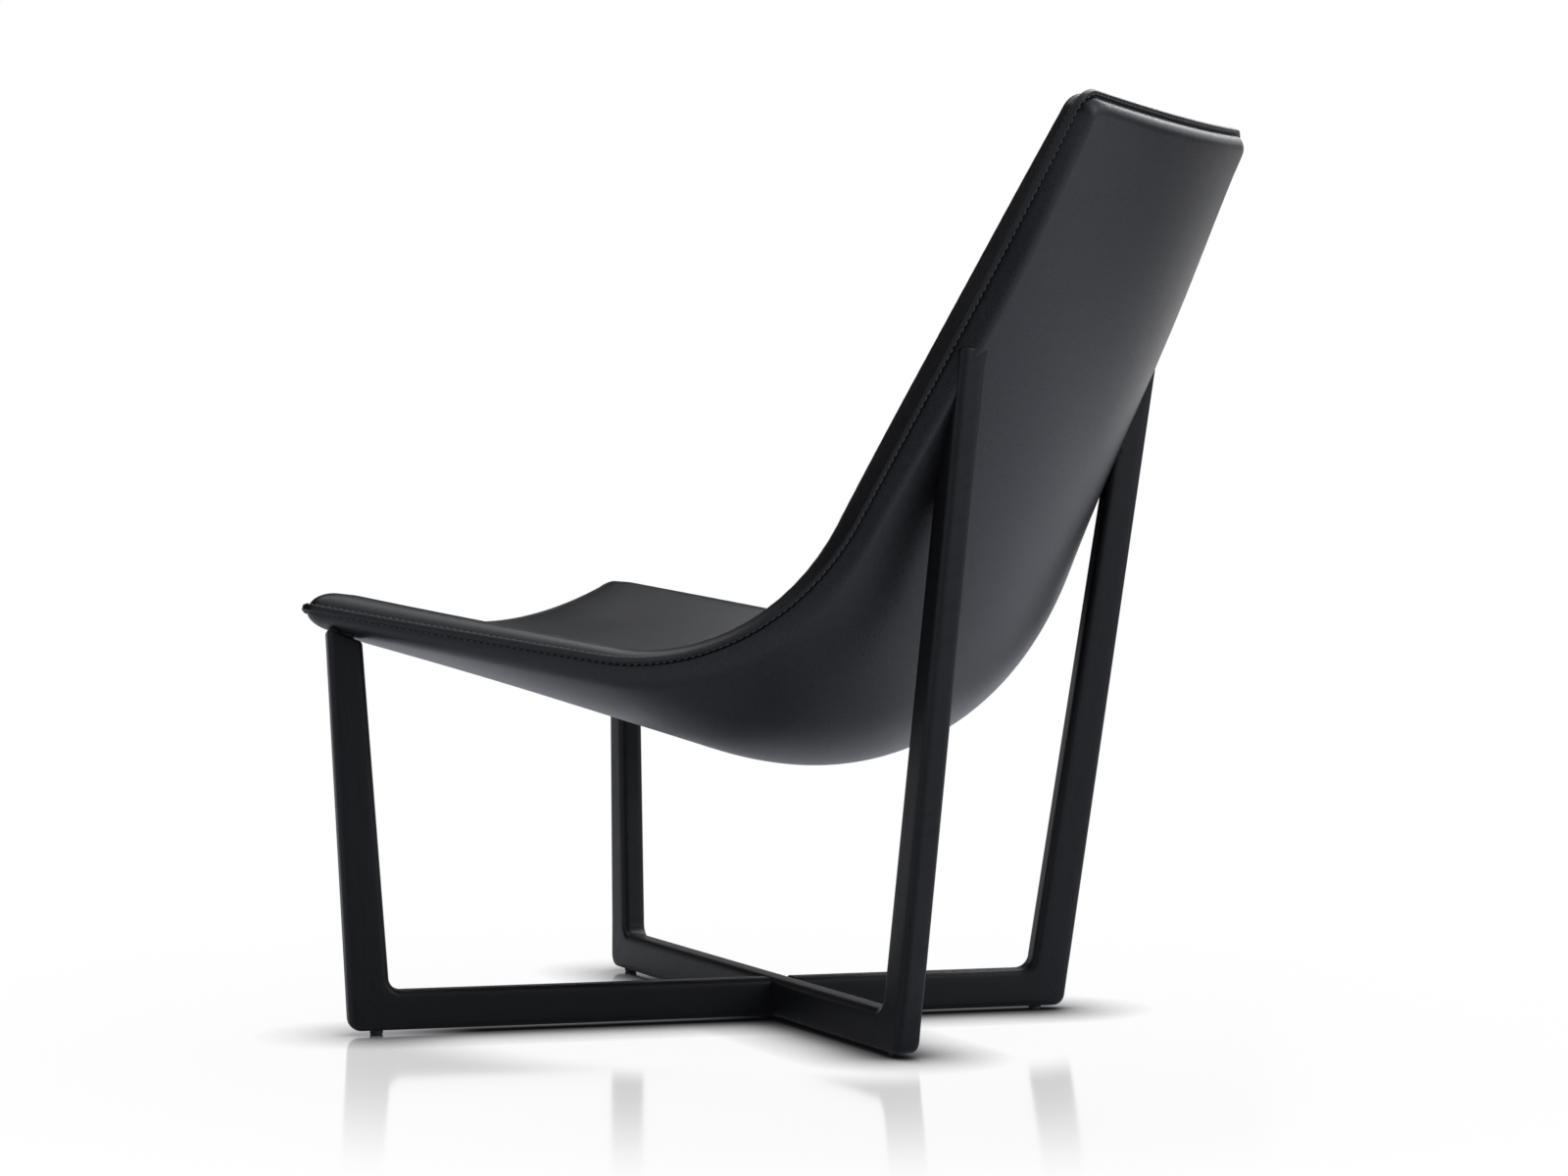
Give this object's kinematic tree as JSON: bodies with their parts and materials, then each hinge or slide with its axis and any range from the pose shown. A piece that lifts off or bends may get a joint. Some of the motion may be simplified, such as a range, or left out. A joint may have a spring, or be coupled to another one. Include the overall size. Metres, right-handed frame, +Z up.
{
  "type": "lounge chair",
  "caption": "Low lounge chair: a padded black leather bucket with a stitched rim, carried on crossed U-shaped frames in black timber.",
  "frame": {"origin": "on the floor, under the middle of the chair's bounding box", "axes": "+Z up, the sitter looks along -Y, the sitter's left is +X"},
  "size_m": [0.5998, 0.7474, 0.8344],
  "materials": {
    "leather": "satin",
    "thread": "matte",
    "foam": "matte",
    "plywood": "raw",
    "lacquered_wood": "satin lacquer",
    "beech": "raw",
    "plastic": "matte",
    "fibre": "matte",
    "steel": "plain"
  },
  "bodies": {
    "root": {"inner_leather": "leather", "outer_leather": "leather", "seam_thread": "thread", "shell_core": "plywood", "seat_foam": "foam", "back_foam": "foam", "front_left_leg": "lacquered_wood", "front_right_leg": "lacquered_wood", "rear_left_leg": "lacquered_wood", "rear_right_leg": "lacquered_wood", "lower_rail": "lacquered_wood", "upper_rail": "lacquered_wood", "front_left_dowel_1": "beech", "front_left_dowel_2": "beech", "front_right_dowel_1": "beech", "front_right_dowel_2": "beech", "rear_left_dowel_1": "beech", "rear_left_dowel_2": "beech", "rear_right_dowel_1": "beech", "rear_right_dowel_2": "beech", "front_left_glide": "plastic", "front_right_glide": "plastic", "rear_left_glide": "plastic", "rear_right_glide": "plastic", "front_left_glide_pin": "steel", "front_right_glide_pin": "steel", "rear_left_glide_pin": "steel", "rear_right_glide_pin": "steel", "front_left_spacer": "fibre", "front_right_spacer": "fibre", "front_left_shell_screw": "steel", "front_right_shell_screw": "steel", "rear_left_shell_screw_1": "steel", "rear_left_shell_screw_2": "steel", "rear_right_shell_screw_1": "steel", "rear_right_shell_screw_2": "steel", "lap_screw": "steel"}
  },
  "joints": []
}
